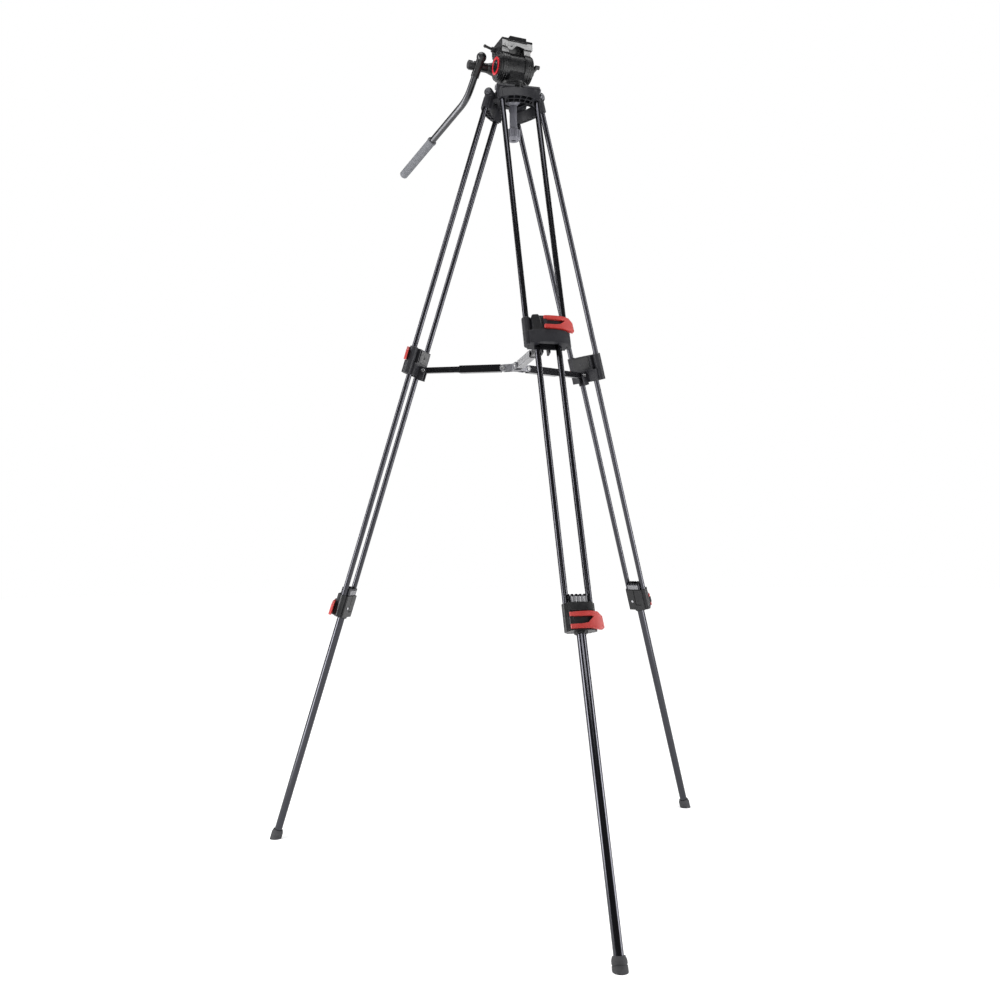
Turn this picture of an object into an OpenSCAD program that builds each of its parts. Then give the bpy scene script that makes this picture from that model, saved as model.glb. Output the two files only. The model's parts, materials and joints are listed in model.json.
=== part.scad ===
// Two-stage twin-tube video tripod with a telescoping mid-level spreader,
// a half-ball bowl and a fluid head.  Millimetres, +Z up, floor at z = 0.
// The front leg points along -Y.  The origin is the middle of the footprint.

/* [Stance] */
// Angle of each leg from the vertical when the tripod stands open
leg_tilt = 18.1; // [16:0.1:22]
// Inward swing of the legs when the tripod is folded
leg_fold = 15; // [10:0.5:15]
// Length of a fully extended leg, from its hinge to its sole
leg_len = 1628; // [1560:1:1700]
// Distance of the leg hinges from the tripod's centre line
hinge_r = 40; // [38:0.5:44]

/* [Leg tubes] */
// Outer diameter of the paired upper and middle tubes
tube_d = 11; // [10:0.2:11.4]
// Outer diameter of the single lower tube
lower_d = 16; // [14:0.2:16]
// Half of the spacing of the two upper tubes
upper_half = 36; // [35.5:0.1:36.5]
// Half of the spacing of the two middle tubes
middle_half = 20.5; // [20.2:0.1:20.8]
// Height of the lower edge of the middle collar, down from the hinge
collar_s = 598; // [580:1:610]
// Height of the lower edge of the lower clamp, down from the hinge
clamp_s = 1128; // [1110:1:1140]

/* [Head] */
// Height of the bowl's rim above the floor
bowl_z = 1556; // [1554:1:1560]
// Radius of the half ball
ball_r = 30; // [28:0.5:31]
// Height of the tilt axis above the floor
tilt_z = 1610; // [1607:0.5:1611]
// Radius of the two drums
drum_r = 31; // [29:0.5:32]
// Turn of the head about the vertical, from facing the front leg
head_turn = 9.1; // [0:0.1:20]

/* [Fits] */
// Radial clearance of a running fit
run_fit = 0.05; // [0.03:0.01:0.1]
// Gap between two solids that slide or turn past each other
gap = 0.4; // [0.3:0.05:0.5]

/* [Hidden] */
$fn = 64;
LEGS = ["front", "right", "left"];
leg_az = [-90, 30, 150];
tube_r = tube_d / 2;
lower_r = lower_d / 2;
hinge_z = leg_len * cos(leg_tilt);
foot_reach = hinge_r + leg_len * sin(leg_tilt);
// The footprint is centred on the origin, so the centre line sits behind it
axis_y = foot_reach / 4;

// Yoke and spider
pin_r = 4;
barrel_r = 9;
socket_r = 8.5;
lug_half = 27.5;
lug_gap = 9;
boss_in = 28;
boss_out = 44.5;
yoke_len = 30;
apron_r = 93.5;
apron_depth = 20;
apron_top = 10;
apron_apex = 17;

// Middle collar, in distances down from the hinge
collar_h = 56;
band_h = 26;
band_n = 18;
arc_r = 120;
lever_apex = 20.5;
lever_t = 5;
lever_edge = 4;
prong_h = 7;
trunnion_r = 1.3;
front_n = lever_apex - lever_t - 0.5;
block_half = 28.5;
guide_half = 26.4;
block_depth = 34;
block_back = 13;
open_n = 9.8;
open_t = 19;
guide_h = 13;
collar_lever_y = -5.5;
collar_lever_s = collar_s - collar_h + 15;
collar_lever_h = 29;

// Lower clamp
clamp_h = 47;
clamp_back = 11.5;
clamp_lever_y = -19;
clamp_lever_s = clamp_s - clamp_h + 31;
clamp_lever_h = 31;
foot_r = 12;
foot_h = 21;

// Spreader: the arm pivots on the collar and on the hub
arm_s = collar_s - 17;
arm_n = 21.5;
arm_h = 12;
bar_w = 9;
sleeve_w = 12.5;
hub_r = 26;
arm_r = hinge_r + arm_s * sin(leg_tilt) - arm_n * cos(leg_tilt);
arm_z = hinge_z - arm_s * cos(leg_tilt) - arm_n * sin(leg_tilt);
hub_z = arm_z - 6;
arm_span = norm([arm_r - hub_r, arm_z - hub_z]);
arm_drop = atan2(arm_z - hub_z, arm_r - hub_r);
bar_len = 95;
sleeve_len = 95;

// Head, in its own frame: -Y is its front, +X its right
drum_in = 16.5;
drum_out = 37.5;
deck_z = 1643;
deck_h = 17;
plate_z = deck_z + 20.5;
arch_r = 40;
neck_r = 28;
// Heights of the clamp below the bowl
knob_low = 1457;
knob_h = 22.4;
shoulder_z = knob_low + knob_h + gap;
cup_low = 1531;
cup_h = 11;
ball_cut = 14;
rod_r = 6.7;
lock_z = 1583;
bar_axis = [-58, 36, 1621];
bar_lobe = [-60, 24.1, 1635.7];
bar_top = [-67, 36.6, 1608];
bar_bend = [-80, 60, 1557];
bar_end = [-150, 280, 1466];

HEAD_NODES = ["half_ball", "tie_cup", "tie_knob", "pan_base", "pan_body", "tilt_axle", "drum_left",
    "drum_right", "platform", "slide_plate", "camera_screw", "plate_lock", "safety_button",
    "pan_lock", "tilt_lock", "accent_ring", "bar_bracket", "bar_knob", "pan_bar", "bar_grip"];
LEG_NODES = ["yoke", "upper_tubes", "collar", "collar_lever", "middle_stage", "lower_clamp",
    "clamp_lever", "lower_stage", "foot", "arm_bar", "arm_sleeve", "arm_screw"];

// Outward distance of the lever strip's middle at the sideways place y
function lever_n(y) = lever_apex - arc_r + sqrt(pow(arc_r - lever_t / 2, 2) - y * y);

// ---- placing ----

// Radial frame of a leg: X points away from the centre line, Y runs sideways
module at_azimuth(az) {
    translate([0, axis_y, 0]) rotate([0, 0, az]) children();
}

// Leg frame: the origin is on the hinge, -Z runs down the leg, X faces outward
module on_leg(i) {
    at_azimuth(leg_az[i]) translate([hinge_r, 0, hinge_z]) rotate([0, -leg_tilt, 0]) children();
}

// Arm frame: the origin is on the collar pivot and -X runs along the arm to the hub
module on_arm(i) {
    at_azimuth(leg_az[i]) translate([arm_r, 0, arm_z]) rotate([0, -arm_drop, 0]) children();
}

module on_head() {
    translate([0, axis_y, 0]) rotate([0, 0, head_turn]) children();
}

// ---- shared shapes ----

// A round bar from one point to another
module rod(a, b, r) {
    v = b - a;
    translate(a) rotate([0, acos(v.z / norm(v)), atan2(v.y, v.x)]) cylinder(r = r, h = norm(v));
}

// A cylinder along X between two x values
module drum(r, x0, x1) {
    translate([x0, 0, 0]) rotate([0, 90, 0]) cylinder(r = r, h = x1 - x0);
}

// A cylinder along Y between two y values
module barrel(r, y0, y1) {
    translate([0, y1, 0]) rotate([90, 0, 0]) cylinder(r = r, h = y1 - y0);
}

module box(x0, x1, y0, y1, z0, z1) {
    translate([x0, y0, z0]) cube([x1 - x0, y1 - y0, z1 - z0]);
}

// Plan outline between two concentric arcs whose apex faces X
module arc_band(r_out, depth, apex, y0, y1) {
    translate([apex - r_out, 0]) intersection() {
        difference() {
            circle(r = r_out, $fn = 180);
            circle(r = r_out - depth, $fn = 180);
        }
        translate([0, y0]) square([r_out + 1, y1 - y0]);
    }
}

// Screw head with a hex socket, standing up from z = 0
module socket_head(r, h) {
    difference() {
        cylinder(r = r, h = h);
        translate([0, 0, h / 2]) cylinder(r = r / 2, h = h, $fn = 6);
    }
}

// ---- spider and bowl ----

module spider() {
    lug_low = hinge_z - barrel_r;
    color("#38383c") difference() {
        union() {
            translate([0, axis_y, bowl_z - 16]) cylinder(r = 37, h = 16);
            translate([0, axis_y, bowl_z - 7]) cylinder(r = 39, h = 7);
            for (az = leg_az) at_azimuth(az) {
                box(24, hinge_r, -lug_half, lug_half, lug_low, hinge_z + 4);
                translate([hinge_r, 0, hinge_z]) barrel(barrel_r, -lug_half, lug_half);
            }
        }
        translate([0, axis_y, bowl_z]) sphere(r = ball_r + gap);
        for (az = leg_az) at_azimuth(az) {
            translate([hinge_r, 0, hinge_z]) barrel(pin_r, -boss_out, boss_out);
            box(hinge_r - 6, hinge_r + 12, -lug_gap, lug_gap, lug_low - 1, hinge_z + 12);
        }
    }
}

module hinge_pins() {
    color("#6c6c70") for (az = leg_az) at_azimuth(az) translate([hinge_r, 0, hinge_z]) {
        barrel(pin_r, -boss_out - 0.5, boss_out + 0.5);
        for (side = [-1, 1]) scale([1, side, 1]) translate([0, boss_out + 0.5, 0])
            rotate([-90, 0, 0]) socket_head(5.5, 2.5);
    }
}

// ---- leg castings and tubes ----

module apron_pockets() {
    rib = 1.3;
    wall = 1.4;
    pocket = 8;
    for (row = [0, 1]) {
        inset = wall + row * (pocket + wall);
        difference() {
            arc_band(apron_r - inset, pocket, apron_apex - inset, -27, 27);
            for (k = [-2:2]) translate([apron_apex - apron_r, 0]) rotate([0, 0, k * 8.5])
                translate([60, -rib / 2]) square([50, rib]);
        }
    }
}

module yoke(i) {
    color("#3f3f45") on_leg(i) difference() {
        union() {
            for (side = [-1, 1]) {
                translate([0, side * (boss_in + boss_out) / 2, 0])
                    barrel(barrel_r, (boss_in - boss_out) / 2, (boss_out - boss_in) / 2);
                translate([0, side * upper_half, -yoke_len]) cylinder(r = socket_r, h = yoke_len);
            }
            translate([0, 0, -yoke_len]) linear_extrude(yoke_len - apron_top)
                arc_band(apron_r, apron_depth, apron_apex, -upper_half, upper_half);
        }
        barrel(pin_r + run_fit, -boss_out - 1, boss_out + 1);
        for (side = [-1, 1]) translate([0, side * upper_half, -yoke_len - 1])
            cylinder(r = tube_r, h = yoke_len - 11);
        translate([0, 0, -yoke_len - 1]) linear_extrude(15) apron_pockets();
        barrel(barrel_r + 1, -boss_in, boss_in);
    }
}

module upper_tubes(i) {
    color("#232326") on_leg(i) for (side = [-1, 1])
        translate([0, side * upper_half, -collar_s + 4]) difference() {
            cylinder(r = tube_r, h = collar_s - 4 - 12);
            translate([0, 0, -1]) cylinder(r = tube_r - 1, h = collar_s);
        }
}

// Lug with trunnions that carries a lever, at the sideways place y
module lever_lug(y, s_mid, half) {
    translate([lever_n(y), y, -s_mid]) {
        box(-10, 2, -3, 3, -half, half);
        translate([0, 0, -half - 5]) cylinder(r = trunnion_r, h = 2 * half + 10);
    }
}

module collar(i) {
    top = collar_s - collar_h;
    color("#3c3c42") on_leg(i) difference() {
        union() {
            for (side = [-1, 1]) translate([0, side * upper_half, -collar_s])
                cylinder(r = socket_r, h = collar_h);
            translate([0, 0, -collar_s]) linear_extrude(band_h) difference() {
                arc_band(arc_r, block_depth, band_n, -upper_half, upper_half);
                translate([-block_back - 30, -50]) square([30, 100]);
            }
            translate([0, 0, -collar_s]) linear_extrude(collar_h) difference() {
                arc_band(arc_r, block_depth, front_n, -block_half, block_half);
                translate([-block_back - 30, -50]) square([30, 100]);
            }
            box(-9, 11, -upper_half, upper_half, -collar_s, -collar_s + band_h);
            lever_lug(collar_lever_y, collar_lever_s, (collar_lever_h - lever_edge) / 2 - prong_h - gap);
            arm_bracket();
        }
        for (side = [-1, 1]) {
            translate([0, side * upper_half, -collar_s + 4]) cylinder(r = tube_r, h = collar_h);
            translate([0, side * middle_half, -collar_s - 1])
                cylinder(r = tube_r + run_fit, h = collar_h + 2);
            translate([0, side * upper_half, -collar_s - 1]) cylinder(r = 1.5, h = 6);
        }
        box(-open_n, open_n, -open_t, open_t, -collar_s - 1, -top + 1);
        box(-open_n, open_n, -guide_half - 0.6, guide_half + 0.6, -top - guide_h - 2, -top + 1);
        translate([-arm_n, 0, -arm_s]) barrel(2.5, -20, 20);
        translate([-14, 0, -top - 15]) rotate([0, 90, 0]) cylinder(r = 2.2, h = 6);
    }
}

// Two ears on the inner side of the collar that hold the spreader arm
module arm_bracket() {
    ear_in = bar_w / 2 + gap;
    for (side = [-1, 1]) translate([0, side * (ear_in + 1.8), 0]) {
        translate([-arm_n, 0, -arm_s]) barrel(6.5, -1.8, 1.8);
        box(-arm_n, -12, -1.8, 1.8, -arm_s - 6.5, -arm_s + 6.5);
        box(-arm_n - 4, -12, -1.8, 1.8, -collar_s - 5, -arm_s);
    }
}

// Flat lever seen from outside: two prongs, a tapered slot and a broad tip
module lever_outline(len, h) {
    top = h - lever_edge;
    difference() {
        polygon([[-3, 0], [len * 0.55, 0], [len - 9, -2.5], [len - 3, -2.5], [len, 0.5],
            [len - 2, h - 12], [len - 10, top], [len * 0.6, top + 1], [-3, top]]);
        polygon([[-4, prong_h], [len * 0.3, prong_h], [len * 0.5, prong_h + 2],
            [len * 0.68, h * 0.5 + 3], [len * 0.62, top - prong_h], [-4, top - prong_h]]);
    }
}

// Curved flip lever.  Its pivot is at the sideways place y, s_mid down the leg
module flip_lever(y, s_mid, len, h) {
    slot_mid = (h - lever_edge) / 2;
    difference() {
        intersection() {
            translate([0, 0, -s_mid - 40]) linear_extrude(80) union() {
                arc_band(arc_r, lever_t, lever_apex, y, y + len + 5);
                translate([lever_n(y), y]) circle(r = lever_t / 2);
            }
            translate([-10, y, -s_mid - slot_mid]) rotate([90, 0, 90]) linear_extrude(50)
                lever_outline(len, h);
        }
        translate([lever_n(y), y, -s_mid - 25]) cylinder(r = trunnion_r + run_fit, h = 50);
    }
}

module collar_lever(i) {
    color("#c8524e") on_leg(i) flip_lever(collar_lever_y, collar_lever_s, 56.5, collar_lever_h);
}

module middle_stage(i) {
    top = collar_s - collar_h;
    color("#232326") on_leg(i) {
        for (side = [-1, 1]) translate([0, side * middle_half, -clamp_s + 5]) difference() {
            cylinder(r = tube_r, h = clamp_s - 5 - top - 2);
            translate([0, 0, -1]) cylinder(r = tube_r - 1, h = clamp_s - 5 - top - 6);
        }
        difference() {
            box(-9, 9, -guide_half, guide_half, -top - guide_h, -top);
            for (side = [-1, 1]) translate([0, side * middle_half, -top - guide_h - 1])
                cylinder(r = tube_r - 0.5, h = guide_h - 2);
            box(4, 10, -8, 8, -top - 5, -top + 1);
            box(-10, -4, -8, 8, -top - 5, -top + 1);
        }
    }
}

module lower_clamp(i) {
    top = clamp_s - clamp_h;
    color("#3c3c42") on_leg(i) difference() {
        union() {
            for (side = [-1, 1]) translate([0, side * middle_half, -clamp_s])
                cylinder(r = 7.5, h = clamp_h);
            translate([0, 0, -clamp_s]) linear_extrude(clamp_h) difference() {
                arc_band(arc_r, block_depth, front_n, -21, 21);
                translate([-clamp_back - 30, -50]) square([30, 100]);
            }
            translate([0, 0, -clamp_s - 3]) cylinder(r = 11.5, h = 10);
            lever_lug(clamp_lever_y, clamp_lever_s, (clamp_lever_h - lever_edge) / 2 - prong_h - gap);
        }
        for (side = [-1, 1]) translate([0, side * middle_half, -clamp_s + 5])
            cylinder(r = tube_r, h = clamp_h);
        translate([0, 0, -clamp_s - 5]) cylinder(r = lower_r + run_fit, h = clamp_h + 10);
        box(-12, -9.5, -0.8, 0.8, -clamp_s + 12, -top + 1);
        box(-12, -9.5, -14, 0.8, -clamp_s + 11, -clamp_s + 12.6);
        translate([-13, 8, -clamp_s + 20]) rotate([0, 90, 0]) cylinder(r = 2, h = 3);
    }
}

module clamp_lever(i) {
    color("#c8524e") on_leg(i) flip_lever(clamp_lever_y, clamp_lever_s, 55, clamp_lever_h);
}

// The single tube with the castellated guide that rides between the middle tubes
module lower_stage(i) {
    top = clamp_s - clamp_h;
    guide_low = top - 0.6;
    guide_top = top - 15;
    color("#232326") on_leg(i) difference() {
        union() {
            translate([0, 0, -leg_len + 6]) cylinder(r = lower_r, h = leg_len - 6 - guide_top - 1);
            difference() {
                box(-9, 9, -18.5, 18.5, -guide_low, -guide_top);
                for (side = [-1, 1]) translate([0, side * middle_half, -guide_low - 1])
                    cylinder(r = tube_r + run_fit, h = 20);
                for (k = [-2:2]) box(-10, 10, k * 7 - 1.4, k * 7 + 1.4, -guide_top - 3.5, -guide_top + 1);
                for (k = [-1, 0, 1], face = [-1, 1]) translate([face * 9, k * 7, -guide_low - 1])
                    cylinder(r = 1.6, h = 20);
            }
        }
        translate([0, 0, -leg_len + 5]) cylinder(r = lower_r - 1.2, h = leg_len - guide_top);
    }
}

module foot(i) {
    color("#2c2c2e") difference() {
        on_leg(i) difference() {
            union() {
                translate([0, 0, -leg_len - 4]) cylinder(r = foot_r, h = foot_h - 2);
                translate([0, 0, -leg_len + foot_h - 6]) cylinder(r1 = foot_r, r2 = 10, h = 6);
            }
            translate([0, 0, -leg_len + 6]) cylinder(r = lower_r, h = foot_h);
            rotate_extrude() translate([foot_r + 0.4, -leg_len + 9]) circle(r = 1.2);
        }
        box(-900, 900, -900, 900, -60, 0);
    }
}

// ---- spreader ----

module arm_bar(i) {
    half = bar_w / 2;
    color("#2b2b2d") on_arm(i) difference() {
        union() {
            barrel(arm_h / 2, -half, half);
            box(-bar_len, 0, -half, half, -arm_h / 2, arm_h / 2);
        }
        barrel(2.5 + run_fit, -half - 1, half + 1);
        box(-bar_len - 1, -12, half - 1.2, half + 1, -2.5, 2.5);
        box(-bar_len - 1, -12, -half - 1, -half + 1.2, -2.5, 2.5);
    }
}

module arm_sleeve(i) {
    half = sleeve_w / 2;
    far = arm_span - sleeve_len;
    color("#9a9a9c") on_arm(i) difference() {
        union() {
            translate([-arm_span, 0, 0]) barrel(arm_h / 2, -half, half);
            box(-arm_span, -far, -half, half, -arm_h / 2 - 1.6, arm_h / 2 + 1.6);
        }
        box(-arm_span + 8, -far + 1, -bar_w / 2 - 0.3, bar_w / 2 + 0.3, -arm_h / 2 - 0.3, arm_h / 2 + 0.3);
        translate([-arm_span, 0, 0]) barrel(2.6, -half - 1, half + 1);
        box(-arm_span - 10, -arm_span + 6, -half - 1, half + 1, arm_h / 2, arm_h);
        box(-arm_span - 10, -arm_span + 6, -half - 1, half + 1, -arm_h, -arm_h / 2);
    }
}

module arm_screw(i) {
    ear_out = bar_w / 2 + gap + 3.6;
    color("#c9c9c9") on_leg(i) translate([-arm_n, 0, -arm_s]) {
        barrel(2.5, -ear_out, ear_out);
        for (side = [-1, 1]) scale([1, side, 1]) translate([0, ear_out, 0])
            rotate([-90, 0, 0]) socket_head(4.2, 2);
    }
}

// Hub with three pairs of ears; each pair straddles the end of one arm
module spreader_hub() {
    ear_in = sleeve_w / 2 + gap;
    ear_t = 2.8;
    color("#77777b") translate([0, 0, hub_z]) difference() {
        union() {
            translate([0, axis_y, -7]) cylinder(r = 11, h = 14);
            for (az = leg_az, side = [-1, 1]) at_azimuth(az) translate([0, side * (ear_in + ear_t / 2), 0]) {
                box(2, hub_r, -ear_t / 2, ear_t / 2, -6.5, 6.5);
                translate([hub_r, 0, 0]) barrel(6.5, -ear_t / 2, ear_t / 2);
            }
        }
        translate([0, axis_y, -8]) cylinder(r = 3, h = 16);
        for (az = leg_az) at_azimuth(az) {
            translate([hub_r, 0, 0]) barrel(2, -20, 20);
            box(8.2, 40, -ear_in, ear_in, -8, 8);
        }
    }
}

module hub_screws() {
    ear_in = sleeve_w / 2 + gap;
    color("#d8d8d8") for (az = leg_az, side = [-1, 1]) at_azimuth(az)
        translate([hub_r, 0, hub_z]) scale([1, side, 1]) {
            barrel(2, ear_in, ear_in + 2.8);
            translate([0, ear_in + 2.8, 0]) rotate([-90, 0, 0]) socket_head(4, 2);
        }
}

// ---- levelling ball and its clamp ----

module half_ball() {
    color("#4a4a4e") on_head() {
        intersection() {
            translate([0, 0, bowl_z]) sphere(r = ball_r);
            translate([0, 0, bowl_z - ball_cut]) cylinder(r = ball_r, h = ball_cut + 2);
        }
        translate([0, 0, shoulder_z]) cylinder(r = rod_r, h = bowl_z - 10 - shoulder_z);
        translate([0, 0, knob_low + 9]) cylinder(r = 4, h = 20);
    }
}

module tie_cup() {
    color("#6a6a70") on_head() difference() {
        translate([0, 0, cup_low]) cylinder(r1 = 8, r2 = 17, h = cup_h);
        translate([0, 0, cup_low - 1]) cylinder(r = rod_r, h = cup_h + 2);
    }
}

module tie_knob() {
    flutes = 10;
    knob_r = 14.5;
    color("#55555c") on_head() difference() {
        union() {
            translate([0, 0, knob_low]) cylinder(r1 = 11, r2 = knob_r, h = 4);
            translate([0, 0, knob_low + 4]) cylinder(r = knob_r, h = knob_h - 6);
            translate([0, 0, knob_low + knob_h - 2]) cylinder(r1 = knob_r, r2 = 12.5, h = 2);
        }
        for (k = [0:flutes - 1]) rotate([0, 0, k * 360 / flutes]) translate([16.6, 0, knob_low - 1])
            cylinder(r = 3.2, h = knob_h + 2);
        translate([0, 0, knob_low + 8]) cylinder(r = 4 + run_fit, h = knob_h);
        translate([0, 0, knob_low - 1]) cylinder(r = 5, h = 5);
    }
}

// ---- fluid head ----

module pan_base() {
    color("#1f1f22") on_head() difference() {
        union() {
            translate([0, 0, bowl_z + 2]) cylinder(r = neck_r - 2, h = 5);
            translate([0, 0, bowl_z + 7]) cylinder(r = neck_r, h = 7);
            translate([0, 0, bowl_z + 14]) cylinder(r = 10, h = 8);
        }
        for (k = [0:11]) rotate([0, 0, k * 30 + 15]) translate([neck_r + 0.6, 0, bowl_z + 6])
            cylinder(r = 1.2, h = 9);
    }
}

module pan_body() {
    base = bowl_z + 14 + gap;
    color("#17171a") on_head() difference() {
        union() {
            translate([0, 0, base]) cylinder(r = neck_r + 0.5, h = 5);
            box(-16, 16, -24, 22, base, tilt_z);
            translate([0, 0, tilt_z]) drum(29, -16, 16);
        }
        translate([0, 0, tilt_z]) drum(6 + run_fit, -17, 17);
        translate([0, 0, base - 1]) cylinder(r = 10 + run_fit, h = 8 + 1 - gap + 0.6);
        translate([0, 26, lock_z]) barrel(3 + run_fit, -10, 10);
    }
}

module tilt_axle() {
    color("#8a8a8e") on_head() translate([0, 0, tilt_z]) drum(6, -drum_out + 4, drum_out - 4);
}

// One drum housing, built for the right side and mirrored for the left
module head_drum() {
    translate([0, 0, tilt_z]) difference() {
        union() {
            drum(drum_r, drum_in, drum_out - 6);
            drum(drum_r - 2, drum_out - 6, drum_out - 2);
            drum(drum_r - 6, drum_out - 2, drum_out);
        }
        drum(6, 0, drum_out - 4);
        rotate([0, 90, 0]) for (x = [drum_in + 7, drum_in + 12])
            translate([0, 0, x]) rotate_extrude() translate([drum_r + 0.4, 0]) circle(r = 1);
    }
}

module drum_left() {
    color("#1b1b1e") on_head() union() {
        mirror([1, 0, 0]) head_drum();
        difference() {
            union() {
                translate([-44, bar_axis.y, bar_axis.z]) rotate([0, 90, 0]) cylinder(r1 = 9.5, r2 = 13.5, h = 14);
                translate([0, bar_axis.y, bar_axis.z]) drum(13.5, -30, -25);
            }
            translate([0, bar_axis.y, bar_axis.z]) drum(4 + run_fit, -50, -20);
            translate([0, 0, tilt_z]) drum(drum_r - 4, -40, -20);
        }
    }
}

module drum_right() {
    color("#1b1b1e") on_head() difference() {
        head_drum();
        translate([0, 0, tilt_z]) drum(4 + run_fit, drum_out - 5, drum_out + 1);
    }
}

module accent_ring() {
    color("#b0202a") on_head() translate([0, 0, tilt_z]) difference() {
        drum(18, -drum_out - 1.6, -drum_out);
        drum(13, -drum_out - 3, -drum_out + 1);
    }
}

module platform() {
    color("#9a9a9a") on_head() difference() {
        union() {
            difference() {
                box(-34, 34, -26, 30, deck_z, deck_z + deck_h);
                translate([0, 0, deck_z + 3.5 - arch_r]) barrel(arch_r, -27, 31);
            }
            for (side = [-1, 1]) scale([side, 1, 1])
                box(drum_in + 1, 32, -20, 20, tilt_z + 18, deck_z + 1);
        }
        translate([0, 0, tilt_z]) drum(drum_r, -60, 60);
        box(-22, 22, -40, 40, deck_z + 11, deck_z + 14.5);
        box(-18.6, 18.6, -40, 40, deck_z + 11, deck_z + 30);
        translate([0, 12, deck_z + 7]) drum(3 + run_fit, -50, -24);
        translate([0, -10, deck_z + 7]) {
            drum(2.5 + run_fit, 23, 50);
            drum(3.6 + gap, 31.5, 50);
        }
        box(-12, 12, -14, 14, deck_z - 1, deck_z + 5);
    }
}

module slide_plate() {
    color("#141416") on_head() difference() {
        union() {
            box(-21.7, 21.7, -30, 58, deck_z + 11.3, deck_z + 14.2);
            box(-18.3, 18.3, -30, 58, deck_z + 14, plate_z);
        }
        translate([0, 0, deck_z]) cylinder(r = 3.25, h = 40);
        translate([0, 0, deck_z]) cylinder(r = 8.5, h = 16.6);
        box(-3.25, 3.25, 18, 46, deck_z, deck_z + 40);
        box(-8.5, 8.5, 18, 46, deck_z, deck_z + 16.6);
        for (y = [-22, 12]) box(-15, 15, y, y + 2, plate_z - 0.8, plate_z + 1);
    }
}

module camera_screw() {
    color("#b8b8ba") on_head() {
        translate([0, 0, deck_z + 12.5]) cylinder(r = 8, h = 3.7);
        translate([0, 0, deck_z + 16]) cylinder(r = 2.8, h = 5);
        translate([0, 0, plate_z]) cylinder(r = 3.175, h = 7);
    }
}

module plate_lock() {
    color("#1a1a1c") on_head() translate([0, 12, deck_z + 7]) {
        drum(3, -42, -25);
        drum(5.5, -42, -35);
        rod([-38, 0, 0], [-58, -3, 3], 2.6);
        translate([-58, -3, 3]) sphere(r = 3.4);
    }
}

module safety_button() {
    color("#b0202a") on_head() translate([0, -10, deck_z + 7]) {
        drum(2.5, 27, 37.5);
        drum(3.6, 34.3, 37.5);
    }
}

module pan_lock() {
    color("#1a1a1c") on_head() translate([0, 0, lock_z]) {
        barrel(3, 17, 30);
        barrel(7, 24.4, 31);
        box(-3, 3, 31, 36, -4, 18);
    }
}

module tilt_lock() {
    color("#2a2a2d") on_head() translate([0, 0, tilt_z]) {
        drum(4, drum_out - 4 + gap, drum_out + 1);
        drum(9, drum_out + gap, drum_out + 8);
        box(drum_out + 3, drum_out + 8, -24, 0, -4, 4);
        translate([0, -24, 0]) drum(4, drum_out + 3, drum_out + 12);
    }
}

// ---- pan bar ----

module bar_bracket() {
    v = (bar_bend - bar_top) / norm(bar_bend - bar_top);
    color("#1a1a1c") on_head() difference() {
        union() {
            translate([0, bar_axis.y, bar_axis.z]) drum(9.5, -73, -44 - gap);
            translate(bar_lobe) sphere(r = 10.4);
            rod(bar_lobe, bar_top + 10 * v, 8.6);
        }
        translate([0, bar_axis.y, bar_axis.z]) {
            drum(4 + run_fit, -90, -40);
            drum(10.4, -90, -73);
        }
        rod(bar_top, bar_top + 40 * v, 7);
    }
}

module bar_knob() {
    color("#202023") on_head() translate([0, bar_axis.y, bar_axis.z]) {
        drum(4, -74, -24);
        drum(8, -86, -73 - gap);
        box(-85, -76, -2.5, 2.5, -9.5, 9.5);
    }
}

module pan_bar() {
    v = (bar_bend - bar_top) / norm(bar_bend - bar_top);
    w = (bar_end - bar_bend) / norm(bar_end - bar_bend);
    color("#303034") on_head() union() {
        rod(bar_top, bar_bend, 7);
        translate(bar_bend) sphere(r = 7.4);
        rod(bar_bend, bar_end - 6 * w, 7);
    }
}

module bar_grip() {
    w = (bar_end - bar_bend) / norm(bar_end - bar_bend);
    grip_start = bar_end - 118 * w;
    color("#5f6064") on_head() difference() {
        union() {
            rod(grip_start, bar_end, 9);
            rod(bar_end - w, bar_end + 6 * w, 7.5);
            rod(grip_start, grip_start + 5 * w, 10);
        }
        rod(grip_start - 5 * w, bar_end - 6 * w, 7);
    }
}

spider();
hinge_pins();
spreader_hub();
hub_screws();
half_ball();
tie_cup();
tie_knob();
pan_base();
pan_body();
tilt_axle();
drum_left();
drum_right();
platform();
slide_plate();
camera_screw();
plate_lock();
safety_button();
pan_lock();
tilt_lock();
accent_ring();
bar_bracket();
bar_knob();
pan_bar();
bar_grip();
for (i = [0:2]) {
    yoke(i);
    upper_tubes(i);
    collar(i);
    collar_lever(i);
    middle_stage(i);
    lower_clamp(i);
    clamp_lever(i);
    lower_stage(i);
    foot(i);
    arm_bar(i);
    arm_sleeve(i);
    arm_screw(i);
}
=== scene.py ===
"""Looks of the twin-tube video tripod: camera, studio, materials and fine detail around its frame."""
import json
import math

import bmesh
import bpy
from mathutils import Matrix, Vector


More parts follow.
